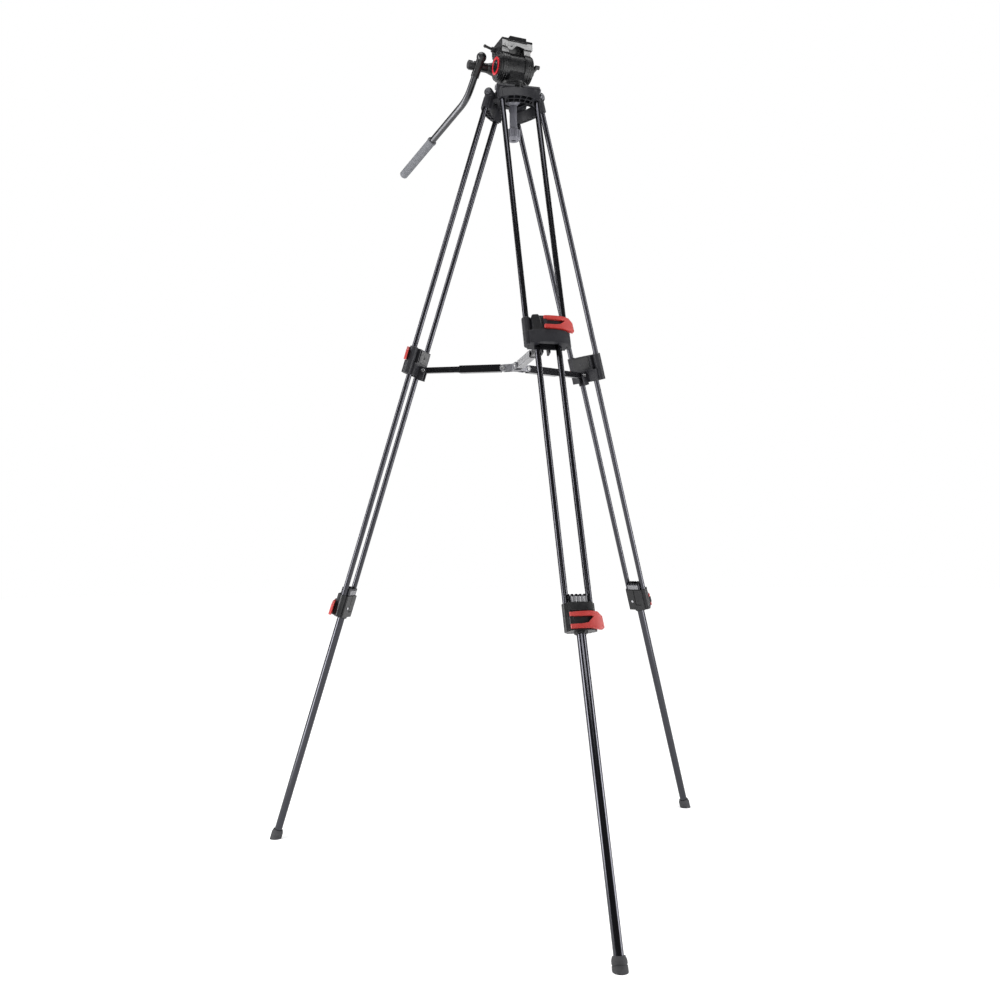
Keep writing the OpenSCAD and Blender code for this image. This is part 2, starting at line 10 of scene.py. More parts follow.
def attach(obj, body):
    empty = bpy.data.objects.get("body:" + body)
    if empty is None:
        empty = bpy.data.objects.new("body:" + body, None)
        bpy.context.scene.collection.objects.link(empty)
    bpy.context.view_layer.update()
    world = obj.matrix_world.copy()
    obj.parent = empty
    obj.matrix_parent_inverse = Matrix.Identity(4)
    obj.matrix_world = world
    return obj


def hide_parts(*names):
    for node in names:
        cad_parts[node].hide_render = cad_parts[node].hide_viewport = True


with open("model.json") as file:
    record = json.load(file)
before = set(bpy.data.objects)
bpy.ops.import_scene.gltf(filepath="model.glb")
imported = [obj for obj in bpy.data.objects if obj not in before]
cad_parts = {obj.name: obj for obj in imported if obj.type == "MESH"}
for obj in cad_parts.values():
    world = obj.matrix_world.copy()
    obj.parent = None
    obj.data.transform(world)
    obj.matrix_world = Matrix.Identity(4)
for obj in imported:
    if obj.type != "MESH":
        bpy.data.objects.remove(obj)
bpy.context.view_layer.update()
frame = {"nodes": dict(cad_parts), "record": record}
NODES = frame["nodes"]
JOINTS = {joint["name"]: joint for joint in frame["record"]["behaviour"]["joints"]}
LEGS = ("front", "right", "left")
MM = 0.001

# ---- places, read from the frame ----

CENTRE_LINE = Vector(JOINTS["pan"]["pos_m"])
TILT_AXIS = Vector(JOINTS["tilt"]["pos_m"])


def leg_frame(leg):
    """Origin on the leg's hinge, X outward, Y sideways, Z up the leg."""
    side = Vector(JOINTS["leg_swing_" + leg]["axis"])
    up = Vector(JOINTS["middle_slide_" + leg]["axis"])
    out = side.cross(up)
    turn = Matrix((out, side, up)).transposed().to_4x4()
    return Matrix.Translation(JOINTS["leg_swing_" + leg]["pos_m"]) @ turn


def head_frame():
    """Origin on the tilt axis at the centre line, X to the head's right, Y to its rear."""
    right = Vector(JOINTS["tilt"]["axis"])
    up = Vector((0, 0, 1))
    turn = Matrix((right, up.cross(right), up)).transposed().to_4x4()
    return Matrix.Translation(TILT_AXIS) @ turn


HEAD = head_frame()

# ---- camera ----

CAMERA_DISTANCE = 1.9927
CAMERA_HEIGHT = 0.6073
CAMERA_AZIMUTH = math.radians(-14.8675)
CAMERA_YAW = -0.02367
CAMERA_PITCH = 0.06156
CAMERA_ROLL = -0.01056
LENS_MM = 35.43
SHIFT = (0.00553, -0.00899)


def make_camera():
    """Looks a little upwards at the tripod from low in front, as in the photograph."""
    yaw, pitch, roll = CAMERA_YAW, CAMERA_PITCH, CAMERA_ROLL
    ahead = Vector((math.sin(yaw) * math.cos(pitch), math.cos(yaw) * math.cos(pitch), math.sin(pitch)))
    level = Vector((math.cos(yaw), -math.sin(yaw), 0))
    above = level.cross(ahead)
    right = math.cos(roll) * level + math.sin(roll) * above
    up = math.cos(roll) * above - math.sin(roll) * level
    turn = Matrix((right, up, -ahead)).transposed().to_4x4()
    data = bpy.data.cameras.new("camera")
    data.lens = LENS_MM
    data.shift_x, data.shift_y = SHIFT
    data.clip_end = 60
    camera = bpy.data.objects.new("camera", data)
    around = Matrix.Translation((CENTRE_LINE.x, CENTRE_LINE.y, 0)) @ Matrix.Rotation(CAMERA_AZIMUTH, 4, "Z")
    camera.matrix_world = around @ Matrix.Translation((0, -CAMERA_DISTANCE, CAMERA_HEIGHT)) @ turn
    bpy.context.collection.objects.link(camera)
    bpy.context.scene.camera = camera


# ---- studio ----

AIM_HEIGHT = 0.85
# Name, degrees to the right of the camera, distance, height, (width, length), watts.
SOFTBOXES = (
    ("key_left", -70, 2.5, 1.2, (0.9, 2.8), 72),
    ("key_right", 73, 2.6, 1.2, (0.9, 2.8), 62),
    ("overhead", -20, 0.5, 3.5, (2.0, 1.6), 44),
    ("front_line", 0, 3.0, 1.9, (2.0, 0.3), 14),
    ("low_left", -70, 1.5, 0.42, (0.4, 0.8), 7),
    ("low_right", 73, 1.5, 0.42, (0.4, 0.8), 7),
    ("rim_left", -138, 2.8, 1.5, (0.5, 2.6), 16),
    ("rim_right", 142, 2.8, 1.5, (0.5, 2.6), 16),
)


def softbox(name, azimuth, distance, height, size, power):
    """A soft light at an azimuth, in degrees to the right of the camera, facing the tripod."""
    data = bpy.data.lights.new(name, "AREA")
    data.shape = "RECTANGLE"
    data.size, data.size_y = size
    data.energy = power
    light = bpy.data.objects.new(name, data)
    turn = CAMERA_AZIMUTH + math.radians(azimuth)
    place = Vector((math.sin(turn) * distance, -math.cos(turn) * distance, height))
    place += Vector((CENTRE_LINE.x, CENTRE_LINE.y, 0))
    aim = Vector((CENTRE_LINE.x, CENTRE_LINE.y, AIM_HEIGHT)) - place
    light.rotation_mode = "QUATERNION"
    light.rotation_quaternion = aim.to_track_quat("-Z", "Y")
    light.location = place
    bpy.context.collection.objects.link(light)


AMBIENT = 0.14
FLOOR_RADIUS = 14
FLOOR_NEAR, FLOOR_FAR = 1.2, 4.5
GLOW_NEAR, GLOW_FAR = 0.42, 1.0


def make_world():
    """A white ground that gives only a little light, so that the softboxes shape the object."""
    world = bpy.data.worlds.new("studio")
    world.use_nodes = True
    nodes, links = world.node_tree.nodes, world.node_tree.links
    seen = nodes["Background"]
    seen.inputs["Color"].default_value = (1, 1, 1, 1)
    seen.inputs["Strength"].default_value = 1.0
    light = nodes.new("ShaderNodeBackground")
    light.inputs["Color"].default_value = (0.97, 0.98, 1, 1)
    light.inputs["Strength"].default_value = AMBIENT
    path = nodes.new("ShaderNodeLightPath")
    choice = nodes.new("ShaderNodeMixShader")
    links.new(path.outputs["Is Camera Ray"], choice.inputs[0])
    links.new(light.outputs[0], choice.inputs[1])
    links.new(seen.outputs[0], choice.inputs[2])
    links.new(choice.outputs[0], nodes["World Output"].inputs["Surface"])
    bpy.context.scene.world = world
    bpy.context.scene.view_settings.view_transform = "Standard"


def make_floor():
    """A wide round pale floor that fades into the white ground."""
    mesh = bpy.data.meshes.new("floor")
    shape = bmesh.new()
    bmesh.ops.create_circle(shape, cap_ends=True, radius=FLOOR_RADIUS, segments=96)
    shape.to_mesh(mesh)
    shape.free()
    floor = bpy.data.objects.new("floor", mesh)
    bpy.context.collection.objects.link(floor)
    tree = Tree("pale_floor")
    away = tree.add("VectorMath", {0: tree.where}, operation="LENGTH").outputs["Value"]
    glow = tree.spread(away, FLOOR_NEAR, FLOOR_FAR, GLOW_NEAR, GLOW_FAR)
    tree.links.new(glow, tree.shader.inputs["Emission Strength"])
    tree.shader.inputs["Emission Color"].default_value = (1, 1, 1, 1)
    tree.shader.inputs["Base Color"].default_value = (0.8, 0.8, 0.8, 1)
    tree.shader.inputs["Roughness"].default_value = 0.9
    tree.shader.inputs["Specular IOR Level"].default_value = 0.1
    mesh.materials.append(tree.material)


def make_studio():
    make_world()
    make_floor()
    for box in SOFTBOXES:
        softbox(*box)


# ---- materials ----


def extent(node, place):
    """(lowest corner, highest corner) of a CAD node in another frame."""
    back = place.inverted()
    points = [back @ vert.co for vert in NODES[node].data.vertices]
    low = Vector([min(p[k] for p in points) for k in range(3)])
    high = Vector([max(p[k] for p in points) for k in range(3)])
    return low, high


def linear(hex_colour):
    """A #rrggbb colour as linear light."""
    parts = [int(hex_colour[i : i + 2], 16) / 255 for i in (1, 3, 5)]
    return (*[c / 12.92 if c <= 0.04045 else ((c + 0.055) / 1.055) ** 2.4 for c in parts], 1)


FLAT_DOT, SHARP_DOT = 0.999, 0.93


class Tree:
    """Short calls for building a material's nodes."""

    def __init__(self, name):
        self.material = bpy.data.materials.new(name)
        self.material.use_nodes = True
        self.nodes = self.material.node_tree.nodes
        self.links = self.material.node_tree.links
        self.shader = self.nodes["Principled BSDF"]
        self.where = self.nodes.new("ShaderNodeTexCoord").outputs["Object"]

    def add(self, kind, values=None, **settings):
        node = self.nodes.new("ShaderNode" + kind)
        for key, value in settings.items():
            setattr(node, key, value)
        for key, value in (values or {}).items():
            if isinstance(value, bpy.types.NodeSocket):
                self.links.new(value, node.inputs[key])
            else:
                node.inputs[key].default_value = value
        return node

    def noise(self, scale, detail=2.0, where=None):
        values = {"Vector": where or self.where, "Scale": scale, "Detail": detail}
        return self.add("TexNoise", values).outputs["Fac"]

    def stretch(self, matrix, scale):
        """Object coordinates in another frame, scaled along each of its axes."""
        back = matrix.inverted()
        turned = self.add(
            "Mapping",
            {"Vector": self.where, "Location": back.to_translation(), "Rotation": back.to_euler()},
        )
        return self.add("Mapping", {"Vector": turned.outputs[0], "Scale": scale}).outputs[0]

    def spread(self, value, low, high, new_low, new_high):
        values = {"Value": value, "From Min": low, "From Max": high, "To Min": new_low, "To Max": new_high}
        return self.add("MapRange", values).outputs["Result"]

    def mix(self, factor, a, b, blend="MIX"):
        node = self.add("Mix", data_type="RGBA", blend_type=blend)
        for socket, value in ((0, factor), (6, a), (7, b)):
            if isinstance(value, bpy.types.NodeSocket):
                self.links.new(value, node.inputs[socket])
            else:
                node.inputs[socket].default_value = value
        return node.outputs[2]

    def math(self, operation, a, b):
        return self.add("Math", {0: a, 1: b}, operation=operation).outputs[0]

    def edges(self, radius):
        """(rounded normal, 0 on flats to 1 on sharp edges)."""
        rounded = self.add("Bevel", {"Radius": radius}, samples=4).outputs[0]
        flat = self.add("NewGeometry").outputs["Normal"]
        dot = self.add("VectorMath", {0: rounded, 1: flat}, operation="DOT_PRODUCT").outputs["Value"]
        return rounded, self.spread(dot, FLAT_DOT, SHARP_DOT, 0.0, 1.0)

    def finish(self, colour, rough, normal):
        for key, value in (("Base Color", colour), ("Roughness", rough), ("Normal", normal)):
            if isinstance(value, bpy.types.NodeSocket):
                self.links.new(value, self.shader.inputs[key])
            else:
                self.shader.inputs[key].default_value = value
        return self.material

    def bump(self, height, strength, distance, normal):
        values = {"Height": height, "Strength": strength, "Distance": distance, "Normal": normal}
        return self.add("Bump", values).outputs[0]


def moulded(name, colour, rough=0.5, mottle=0.12, depth=0.25, wear=0.35, gloss=0.5):
    """Moulded plastic or coated casting: fine grain, slight tone shifts and paler worn edges."""
    tree = Tree(name)
    base = linear(colour)
    dark = tuple(c * (1 - mottle) for c in base[:3]) + (1,)
    light = tuple(min(1.0, c * (1 + mottle) + 0.004) for c in base[:3]) + (1,)
    pale = tuple(min(1.0, c * 1.6 + 0.03) for c in base[:3]) + (1,)
    rounded, edge = tree.edges(0.0006)
    clouds = tree.spread(tree.noise(45, 3), 0.35, 0.65, 0, 1)
    tone = tree.mix(clouds, dark, light)
    scuffs = tree.spread(tree.noise(380, 4), 0.45, 0.62, 0, 1)
    worn = tree.math("MULTIPLY", tree.math("MULTIPLY", edge, scuffs), wear)
    tone = tree.mix(worn, tone, pale)
    fine = tree.noise(2800, 2)
    roughness = tree.spread(tree.noise(160, 3), 0.3, 0.7, rough - 0.06, rough + 0.08)
    tree.shader.inputs["Specular IOR Level"].default_value = gloss
    normal = tree.bump(fine, depth, 0.00008, rounded)
    return tree.finish(tone, roughness, normal)


def anodised(name, colour, matrix, rough=0.16):
    """Drawn and black anodised tube: gloss with faint lines along its length."""
    tree = Tree(name)
    base = linear(colour)
    along = tree.stretch(matrix, (1400, 1400, 9))
    lines = tree.noise(1.0, 2, along)
    light = tuple(c * 1.25 for c in base[:3]) + (1,)
    tone = tree.mix(tree.spread(lines, 0.35, 0.65, 0, 1), base, light)
    smudges = tree.math("ADD", tree.noise(14, 2), tree.math("MULTIPLY", lines, 0.35))
    roughness = tree.spread(smudges, 0.4, 0.95, rough - 0.02, rough + 0.03)
    tree.shader.inputs["Metallic"].default_value = 1.0
    rounded, _ = tree.edges(0.0005)
    normal = tree.bump(lines, 0.03, 0.00002, rounded)
    return tree.finish(tone, roughness, normal)


def brushed(name, colour, rough=0.3, metallic=1.0, grain=900, wear=0.3):
    """Bare or satin metal with fine turning marks."""
    tree = Tree(name)
    base = linear(colour)
    dark = tuple(c * 0.8 for c in base[:3]) + (1,)
    marks = tree.noise(grain, 4)
    tone = tree.mix(tree.spread(marks, 0.3, 0.7, 0, 1), dark, base)
    rounded, edge = tree.edges(0.0004)
    tone = tree.mix(tree.math("MULTIPLY", edge, wear), tone, (0.9, 0.9, 0.9, 1))
    roughness = tree.spread(tree.noise(220, 3), 0.3, 0.7, rough - 0.06, rough + 0.1)
    tree.shader.inputs["Metallic"].default_value = metallic
    normal = tree.bump(marks, 0.15, 0.00004, rounded)
    return tree.finish(tone, roughness, normal)


def grey_front_painted_shade(name, front, dark_coat_and_shade, lip=4.5 * MM):
    """Coated casting whose faces towards the front are bare grey, below a dark top edge; every other face
    gets the dark colour, which is the casting's dark coat and, on the underside, painted shade.
    """
    tree = Tree(name)
    _, top = extent("platform", HEAD)
    here = tree.add("SeparateXYZ", {0: tree.stretch(HEAD, (1, 1, 1))}).outputs["Z"]
    below = tree.math("LESS_THAN", here, top.z - lip)
    faces = tree.add("TexCoord").outputs["Normal"]
    ahead = -HEAD.to_3x3().col[1]
    towards = tree.add("VectorMath", {0: faces, 1: ahead}, operation="DOT_PRODUCT").outputs["Value"]
    bare = tree.math("MULTIPLY", below, tree.math("GREATER_THAN", towards, 0.6))
    grain = tree.spread(tree.noise(420, 4), 0.3, 0.7, 0.86, 1.0)
    # Painted shade: faces not turned to the front, the underside among them, take the dark colour.
    tone = tree.mix(bare, linear(dark_coat_and_shade), linear(front))
    tone = tree.mix(1.0, tone, tree.add("CombineXYZ", {0: grain, 1: grain, 2: grain}).outputs[0], "MULTIPLY")
    rounded, edge = tree.edges(0.0005)
    tone = tree.mix(tree.math("MULTIPLY", edge, 0.25), tone, (0.5, 0.5, 0.5, 1))
    roughness = tree.spread(tree.noise(160, 3), 0.3, 0.7, 0.3, 0.42)
    return tree.finish(tone, roughness, rounded)


def rubbery(name, colour, rough=0.85, cell=0.0007):
    """Rubber or foam: open cells and dusty high spots."""
    tree = Tree(name)
    base = linear(colour)
    dusty = tuple(min(1.0, c * 1.35 + 0.02) for c in base[:3]) + (1,)
    cells = tree.add("TexVoronoi", {"Vector": tree.where, "Scale": 1 / cell}).outputs["Distance"]
    dust = tree.spread(tree.noise(120, 5), 0.4, 0.7, 0, 0.6)
    tone = tree.mix(dust, base, dusty)
    rounded, _ = tree.edges(0.0008)
    normal = tree.bump(cells, 0.35, 0.0002, rounded)
    return tree.finish(tone, tree.spread(dust, 0, 0.6, rough, rough + 0.08), normal)


def paint(material, *names):
    """Gives CAD nodes their material."""
    for name in names:
        mesh = NODES[name].data
        mesh.materials.clear()
        mesh.materials.append(material)


def paint_legs():
    casting = moulded("casting", "#1c1c20", rough=0.46, depth=0.06, mottle=0.06, gloss=0.22)
    black = moulded("clamp_black", "#111113", rough=0.36, depth=0.06, mottle=0.06, gloss=0.3)
    red = moulded("lever_red", "#9e2823", rough=0.4, mottle=0.05, wear=0.2, depth=0.06)
    sole = rubbery("sole_rubber", "#2d2d2f")
    arm_black = anodised("arm_black", "#38383b", Matrix.Rotation(math.pi / 2, 4, "Y"), rough=0.2)
    # Painted reflection: a lighter grey metal, used only on the front arm's sleeve.
    arm_grey = brushed("arm_grey", "#8c8c8e", rough=0.34, metallic=0.8, grain=300)
    steel = brushed("steel", "#c9c9c9", rough=0.25)
    for leg in LEGS:
        tube = anodised("anodised_tube_" + leg, "#3c3c40", leg_frame(leg))
        paint(casting, "yoke_" + leg, "collar_" + leg)
        paint(black, "lower_clamp_" + leg)
        paint(tube, "upper_tubes_" + leg, "middle_stage_" + leg, "lower_stage_" + leg)
        paint(red, "collar_lever_" + leg, "clamp_lever_" + leg)
        paint(sole, "foot_" + leg)
        paint(arm_black, "arm_bar_" + leg)
        # Painted reflection: only the front arm's sleeve gets the lighter grey, standing for the floor and
        # lights it reflects; the other sleeves share the bars' black.
        paint(arm_grey if leg == "front" else arm_black, "arm_sleeve_" + leg)
        paint(steel, "arm_screw_" + leg)
    paint(casting, "spider")
    paint(brushed("dark_steel", "#77777c", rough=0.35), "hinge_pins")
    paint(brushed("hub_grey", "#77777b", rough=0.4, metallic=0.8), "spreader_hub")
    paint(steel, "hub_screws", "camera_screw", "tilt_axle")


def paint_head():
    black = moulded("head_black", "#0d0d0f", rough=0.3, depth=0.02, wear=0.12, mottle=0.05)
    knob = moulded("knob_black", "#19191b", rough=0.45)
    clamp = moulded("knob_grey", "#55555c", rough=0.45)
    red = moulded("accent_red", "#b0202a", rough=0.25, mottle=0.05, wear=0.1)
    paint(black, "pan_base", "pan_body", "drum_left", "drum_right", "bar_bracket")
    paint(knob, "plate_lock", "pan_lock", "tilt_lock", "bar_knob")
    paint(grey_front_painted_shade("platform_grey_front_painted_shade", "#9b9b9b", "#141416"), "platform")
    paint(clamp, "tie_cup", "tie_knob")
    paint(brushed("ball_grey", "#4a4a4e", rough=0.35), "half_ball")
    paint(red, "accent_ring", "safety_button")
    paint(brushed("plate_black", "#19191b", rough=0.4, metallic=0.6), "slide_plate")
    paint(anodised("bar_tube", "#4a4a4c", HEAD, rough=0.3), "pan_bar")
    paint(rubbery("grip_rubber", "#5c5d61"), "bar_grip")


# ---- mesh making ----


def lathe(profile, segments=48):
    """Solid of revolution about Z from (radius, height) points."""
    shape = bmesh.new()
    rings = []
    for radius, height in profile:
        count = segments if radius > 0 else 1
        turns = [2 * math.pi * k / segments for k in range(count)]
        rings.append([shape.verts.new((radius * math.cos(a), radius * math.sin(a), height)) for a in turns])
    for low, high in zip(rings, rings[1:]):
        for k in range(segments):
            m = k + 1
            corners = (low[k % len(low)], low[m % len(low)], high[m % len(high)], high[k % len(high)])
            corners = list(dict.fromkeys(corners))
            if len(corners) > 2:
                shape.faces.new(corners)
    for ring in (rings[0], rings[-1]):
        if len(ring) > 1:
            shape.faces.new(ring)
    return shape


def ring(inner, outer, low, high, segments=64):
    """Flat-sided ring about Z."""
    corners = ((inner, low), (outer, low), (outer, high), (inner, high))
    shape = bmesh.new()
    loops = []
    for k in range(segments):
        a = 2 * math.pi * k / segments
        loops.append([shape.verts.new((r * math.cos(a), r * math.sin(a), z)) for r, z in corners])
    for k in range(segments):
        here, there = loops[k], loops[(k + 1) % segments]
        for m in range(4):
            shape.faces.new((here[m], there[m], there[(m + 1) % 4], here[(m + 1) % 4]))
    return shape


def prism(outline, low, high):
    """Straight solid over an (x, y) outline."""
    shape = bmesh.new()
    face = shape.faces.new([shape.verts.new((x, y, low)) for x, y in outline])
    made = bmesh.ops.extrude_face_region(shape, geom=[face])
    moved = [v for v in made["geom"] if isinstance(v, bmesh.types.BMVert)]
    bmesh.ops.translate(shape, verts=moved, vec=(0, 0, high - low))
    return shape


def rectangle(low_x, low_y, high_x, high_y):
    """Outline from its lowest corner to its highest."""
    return [(low_x, low_y), (high_x, low_y), (high_x, high_y), (low_x, high_y)]


def arc_plate(outline, inner, thickness, radius=0.12, step=0.003):
    """Curved plate over a (sideways, up) outline. inner is its back's distance out at the middle."""
    shape = bmesh.new()
    shape.faces.new([shape.verts.new((0, y, z)) for y, z in outline])
    low, high = min(y for y, z in outline), max(y for y, z in outline)
    for k in range(1, int((high - low) / step) + 1):
        everything = shape.verts[:] + shape.edges[:] + shape.faces[:]
        bmesh.ops.bisect_plane(shape, geom=everything, plane_co=(0, low + k * step, 0), plane_no=(0, 1, 0))
    made = bmesh.ops.extrude_face_region(shape, geom=shape.faces[:])
    front = {v for v in made["geom"] if isinstance(v, bmesh.types.BMVert)}
    for vert in shape.verts:
        sag = math.sqrt(radius**2 - vert.co.y**2) - radius
        vert.co.x = inner + sag + (thickness if vert in front else 0)
    return shape


def sweep(path, radius, segments=40):
    """Round bar along points, closed by flat ends."""
    shape = bmesh.new()
    rings = []
    side = (path[1] - path[0]).orthogonal().normalized()
    for k, point in enumerate(path):
        ahead = (path[min(k + 1, len(path) - 1)] - path[max(k - 1, 0)]).normalized()
        side = (side - side.dot(ahead) * ahead).normalized()
        other = ahead.cross(side)
        turns = [2 * math.pi * m / segments for m in range(segments)]
        spots = [point + radius * (math.cos(a) * side + math.sin(a) * other) for a in turns]
        rings.append([shape.verts.new(spot) for spot in spots])
    for low, high in zip(rings, rings[1:]):
        for m in range(segments):
            n = (m + 1) % segments
            shape.faces.new((low[m], low[n], high[n], high[m]))
    shape.faces.new(rings[0])
    shape.faces.new(rings[-1])
    return shape


def piece(name, shape, body, material, place, bevel=0.0004, stands_for=()):
    """Turns a shape drawn in the frame `place` into a finished piece that rides on a body."""
    bmesh.ops.recalc_face_normals(shape, faces=shape.faces)
    mesh = bpy.data.meshes.new(name)
    shape.to_mesh(mesh)
    shape.free()
    mesh.transform(place)
    mesh.materials.append(material)
    mesh.polygons.foreach_set("use_smooth", [True] * len(mesh.polygons))
    thing = bpy.data.objects.new(name, mesh)
    bpy.context.collection.objects.link(thing)
    if bevel:
        rounding = thing.modifiers.new("rounding", "BEVEL")
        rounding.width = bevel
        rounding.segments = 3
        rounding.limit_method = "ANGLE"
        rounding.angle_limit = math.radians(35)
    thing.modifiers.new("shading", "WEIGHTED_NORMAL").keep_sharp = True
    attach(thing, body)
    if stands_for:
        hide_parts(*stands_for)
    return thing


def facing(place, point, axis):
    """A frame at a point of another frame whose Z runs along the given axis."""
    z = Vector(axis).normalized()
    x = Vector((0, 0, 1)).cross(z)
    if x.length < 1e-6:
        x = Vector((1, 0, 0))
    x.normalize()
    turn = Matrix((x, z.cross(x), z)).transposed().to_4x4()
    return place @ Matrix.Translation(point) @ turn


def socket_screw(radius, height):
    """Cap screw head with a round recess, on z = 0."""
    side = [(radius * 0.96, 0), (radius, height * 0.15), (radius, height * 0.75), (radius * 0.88, height)]
    recess = [(radius * 0.5, height), (radius * 0.45, height * 0.4), (0, height * 0.4)]
    return lathe(side + recess, 32)


# ---- leg details ----

TUBE_HALF = 36 * MM
BAND_TOP = -572 * MM
COLLAR_TOP = -542 * MM
COLLAR_BACK = -13 * MM
CLAMP_TOP = -1081 * MM
CLAMP_LOW = -1128 * MM
CLAMP_BACK = -11.6 * MM
INWARD = (-1, 0, 0)


def collar_liner(leg, paints):
    """Black liner on one side of the collar, cut away at its inner top corner."""
    side, notch = 28 * MM, 9.6 * MM
    low, high = BAND_TOP + 0.2 * MM, COLLAR_TOP + 2.5 * MM
    outline = [(-side, low), (-side, COLLAR_TOP + 1.5 * MM), (-25 * MM, high), (-17 * MM, high)]
    outline += [(-13 * MM, COLLAR_TOP - 4 * MM), (-notch, COLLAR_TOP - 5 * MM), (-notch, low)]
    plate = arc_plate(outline, 14.4 * MM, 2.0 * MM)
    piece("clamp_liner_" + leg, plate, "leg_" + leg, paints["black"], leg_frame(leg))


def inner_panel(leg, paints):
    """Panel on the collar's inner face, with its screw."""
    place = leg_frame(leg)
    body = "leg_" + leg
    panel = prism(rectangle(-23 * MM, -27.5 * MM, 23 * MM, -2 * MM), 0, 1.3 * MM)
    panel_place = facing(place, (COLLAR_BACK + 0.1 * MM, 0, COLLAR_TOP), INWARD)
    piece("inner_panel_" + leg, panel, body, paints["black"], panel_place, 0.8 * MM)
    # The screw is dark metal: painted shade standing for the shadowed hole it sits in.
    screw = socket_screw(2.6 * MM, 0.9 * MM)
    screw_place = facing(place, (COLLAR_BACK - 1.2 * MM, 0, COLLAR_TOP - 15 * MM), INWARD)
    piece("panel_screw_" + leg, screw, body, paints["dark"], screw_place, 0)


def socket_rings(leg, paints):
    """Seams and lips round the collar's two tube sockets."""
    place = leg_frame(leg)
    body = "leg_" + leg
    for side, name in ((-1, "a"), (1, "b")):
        seam = ring(8.0 * MM, 8.75 * MM, -0.5 * MM, 0.5 * MM)
        seam_place = place @ Matrix.Translation((0, side * TUBE_HALF, BAND_TOP))
        piece(f"socket_seam_{name}_{leg}", seam, body, paints["black"], seam_place, 0.2 * MM)
        lip = ring(5.6 * MM, 8.3 * MM, -0.5 * MM, 0.9 * MM)
        lip_place = place @ Matrix.Translation((0, side * TUBE_HALF, COLLAR_TOP))
        piece(f"socket_lip_{name}_{leg}", lip, body, paints["casting"], lip_place, 0.5 * MM)


def clamp_details(leg, paints):
    """Curved lip above the clamp's lever, the ring round the lower tube and the rear screw."""
    place = leg_frame(leg)
    body = "middle_" + leg
    outline = rectangle(-20 * MM, CLAMP_TOP - 15 * MM, 20 * MM, CLAMP_TOP - 13.4 * MM)
    lip = arc_plate(outline, 14 * MM, 4.5 * MM)
    piece("clamp_lip_top_" + leg, lip, body, paints["black"], place)
    throat = ring(8.4 * MM, 10.6 * MM, -0.8 * MM, 0.6 * MM)
    throat_place = place @ Matrix.Translation((0, 0, CLAMP_LOW - 3 * MM))
    piece("clamp_throat_" + leg, throat, body, paints["black"], throat_place, 0.4 * MM)
    screw = socket_screw(2.9 * MM, 0.9 * MM)
    screw_place = facing(place, (CLAMP_BACK, 8 * MM, CLAMP_LOW + 20 * MM), INWARD)
    piece("clamp_screw_" + leg, screw, body, paints["steel"], screw_place, 0)


def guide_details(leg, paints):
    """Scalloped strips down both faces of the guide that shows above the lower clamp."""
    place = leg_frame(leg)
    body = "lower_" + leg
    pitch, steps = 7 * MM, 8
    root, valley, scallop = 8.2 * MM, 9.0 * MM, 1.1 * MM
    for side, name in ((-1, "back"), (1, "front")):
        crest = []
        for k in range(-2 * steps, 2 * steps + 1):
            rise = scallop * abs(math.cos(math.pi * k / steps))
            crest.append((side * (valley + rise), k * pitch / steps))
        outline = [(side * root, crest[0][1]), *crest, (side * root, crest[-1][1])]
        strip = prism(outline, CLAMP_TOP + 1.2 * MM, CLAMP_TOP + 11 * MM)
        piece(f"guide_strip_{name}_{leg}", strip, body, paints["rib"], place, 0.2 * MM)


def leg_details(paints):
    for leg in LEGS:
        collar_liner(leg, paints)
        inner_panel(leg, paints)
        socket_rings(leg, paints)
        clamp_details(leg, paints)
        guide_details(leg, paints)


# ---- head details ----


def deck_details(paints):
    """Rails and front brace of the platform, and the pads on its plate."""
    low, high = extent("platform", HEAD)
    for side, name in ((-1, "left"), (1, "right")):
        outline = rectangle(side * 19.2 * MM, low.y, side * 34.4 * MM, high.y)
        outline = outline if side > 0 else outline[::-1]
        rail = prism(outline, high.z - 3 * MM, high.z + 0.8 * MM)
        piece("deck_rail_" + name, rail, "tilt", paints["head_black"], HEAD, 1.0 * MM)
    brace = [(-28, 36), (-22, 36), (-15.5, 30), (-9, 36), (-3, 36), (-13, 26), (-18, 26)]
    front = facing(HEAD, (0, low.y + 0.2 * MM, 0), (0, -1, 0))
    web = prism([(x * MM, z * MM) for x, z in reversed(brace)], 0, 3.4 * MM)
    piece("front_brace", web, "tilt", paints["bare_grey"], front, 0.4 * MM)
    _, plate_high = extent("slide_plate", HEAD)
    plate_top = HEAD @ Matrix.Translation((0, 0, plate_high.z))
    length, width = 14.5 * MM, 0.9 * MM
    for k, y in enumerate((-21 * MM, 13 * MM)):
        pad = prism(rectangle(-length, y - width, length, y + width), -0.8 * MM, 0.3 * MM)
        piece(f"plate_pad_{k}", pad, "plate", paints["rubber"], plate_top, 0.3 * MM)


def drum_cap(paints):
    """Shallow cap on the end of the left drum."""
    face = facing(HEAD, (-37.4 * MM, 0, 0), (-1, 0, 0))
    profile = [(14.8 * MM, 0), (14.8 * MM, 0.6 * MM), (13.6 * MM, 1.3 * MM)]
    profile += [(8 * MM, 1.5 * MM), (7.4 * MM, 0.9 * MM), (0, 0.9 * MM)]
    piece("drum_cap_left", lathe(profile), "tilt", paints["head_black"], face, 0)


def bubble_level(paints):
    """Round vial and its seat, behind the head."""
    place = facing(HEAD, (0, 22 * MM, 2 * MM), (0, 0, 1))
    glass = lathe([(5 * MM, 0), (5 * MM, 3 * MM), (4.4 * MM, 3.6 * MM), (0, 4.2 * MM)])
    piece("bubble_vial", glass, "pan", paints["vial"], place, 0)
    seat = ring(4.6 * MM, 6.4 * MM, -4 * MM, 2.6 * MM)
    piece("bubble_seat", seat, "pan", paints["head_black"], place, 0.4 * MM)


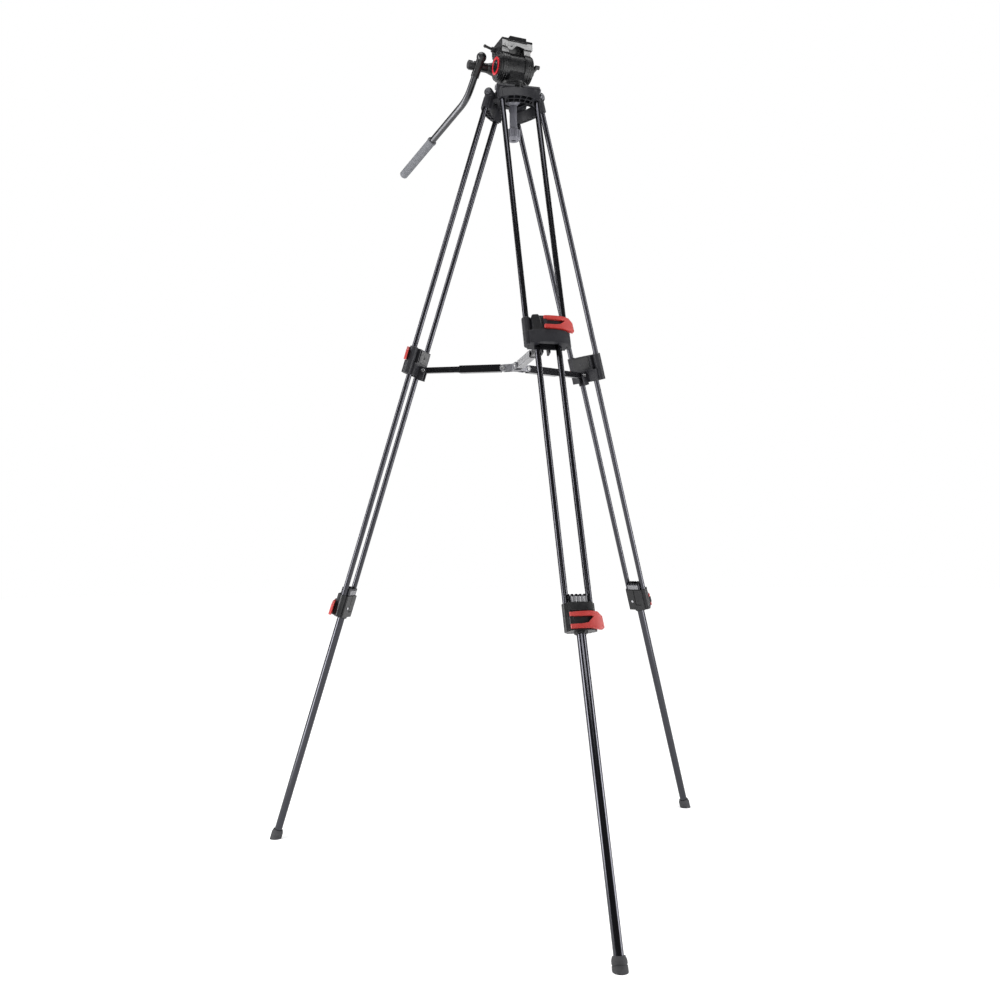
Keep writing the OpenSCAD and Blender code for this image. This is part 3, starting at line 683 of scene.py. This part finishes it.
def tie_details(paints):
    """The fluted sleeve round the clamping rod, between its cup and its knob."""
    flutes, outer, inner = 18, 7.7 * MM, 7.25 * MM
    outline = []
    for k in range(flutes * 4):
        turn = 2 * math.pi * k / (flutes * 4)
        reach = outer if k % 4 in (0, 1) else inner
        outline.append((reach * math.cos(turn), reach * math.sin(turn)))
    bottom = extent("tie_knob", HEAD)[1].z
    top = extent("tie_cup", HEAD)[0].z
    sleeve = prism(outline, bottom + 0.5 * MM, top - 0.2 * MM)
    piece("tie_sleeve", sleeve, "level", paints["knob_grey"], HEAD, 0.1 * MM)


BAR_R = 7 * MM
GRIP_R = 9.4 * MM
GRIP_LEN = 124 * MM
GRIP_END_R = 7 * MM


def bar_points():
    """Top, bend and end of the pan bar's centre line, laid out in the head's frame."""
    top, bend, end = Vector((-67, 36.6, -2)), Vector((-80, 60, -53)), Vector((-150, 280, -144))
    return [HEAD @ (p * MM) for p in (top, bend, end)]


def bend_path(top, bend, end, reach=22 * MM, steps=14):
    """Straight, round the bend on a smooth curve, and straight again."""
    start = bend + (top - bend).normalized() * reach
    stop = bend + (end - bend).normalized() * reach
    curve = []
    for k in range(steps + 1):
        t = k / steps
        curve.append((1 - t) ** 2 * start + 2 * t * (1 - t) * bend + t**2 * stop)
    return [top, *curve, end]


def grip_profile():
    """Flange, fine grooves and rounded end of the grip, as (radius, height) points."""
    flange, groove = 10.3 * MM, GRIP_R - 0.25 * MM
    points = [(7.1 * MM, 0), (10 * MM, 0.2 * MM), (flange, 1.4 * MM)]
    points += [(flange, 4.2 * MM), (9.5 * MM, 5.2 * MM)]
    height = 9 * MM
    while height < GRIP_LEN - 16 * MM:
        points += [(GRIP_R, height), (GRIP_R, height + 1.9 * MM)]
        points += [(groove, height + 2.2 * MM), (groove, height + 2.6 * MM)]
        height += 3 * MM
    steps = 8
    for k in range(steps + 1):
        turn = math.pi / 2 * k / steps
        points.append((GRIP_R * math.cos(turn), GRIP_LEN - GRIP_END_R + GRIP_END_R * math.sin(turn)))
    points[-1] = (0, GRIP_LEN)
    return points


def pan_bar_details(paints):
    """The bent bar and its ribbed rubber grip, in place of their plain solids."""
    top, bend, end = bar_points()
    along = (end - bend).normalized()
    bar = sweep(bend_path(top, bend, end - along * 8 * MM), BAR_R)
    identity = Matrix.Identity(4)
    piece("pan_bar_tube", bar, "bar", paints["bar_tube"], identity, 0.8 * MM, ("pan_bar",))
    grip_end = end + along * 6 * MM
    place = facing(Matrix.Translation(grip_end - along * GRIP_LEN), (0, 0, 0), along)
    grip = lathe(grip_profile(), 56)
    piece("grip_sleeve", grip, "bar", paints["grip"], place, 0, ("bar_grip",))


def detail_paints():
    """Materials shared by the detail pieces."""
    return {
        "black": moulded("liner_black", "#121214", rough=0.34, depth=0.05, mottle=0.06, gloss=0.3),
        "knob_grey": moulded("sleeve_grey", "#4d4d54", rough=0.42, depth=0.06),
        "bare_grey": moulded("bare_grey", "#858585", rough=0.38, depth=0.06),
        "casting": moulded("panel_grey", "#323236", rough=0.42, depth=0.06),
        "rib": moulded("guide_grey", "#6d6d70", rough=0.35, depth=0.05),
        # Dark screw metal: painted shade of a screw hole.
        "dark": brushed("screw_painted_hole_shade", "#3a3a3c", rough=0.35),
        "steel": brushed("screw_steel", "#b5b5b8", rough=0.3),
        "head_black": moulded("trim_black", "#101012", rough=0.26, depth=0.02, wear=0.12, mottle=0.05),
        "rubber": rubbery("pad_rubber", "#232325"),
        "vial": moulded("vial_green", "#8fae4a", rough=0.12, mottle=0.05, depth=0.02, wear=0),
        "bar_tube": anodised("bar_tube_black", "#4a4a4c", HEAD, rough=0.3),
        "grip": rubbery("grip_foam", "#5b5c60", cell=0.0005),
    }


make_camera()
make_studio()
paint_legs()
paint_head()
PAINTS = detail_paints()
leg_details(PAINTS)
deck_details(PAINTS)
drum_cap(PAINTS)
bubble_level(PAINTS)
tie_details(PAINTS)
pan_bar_details(PAINTS)
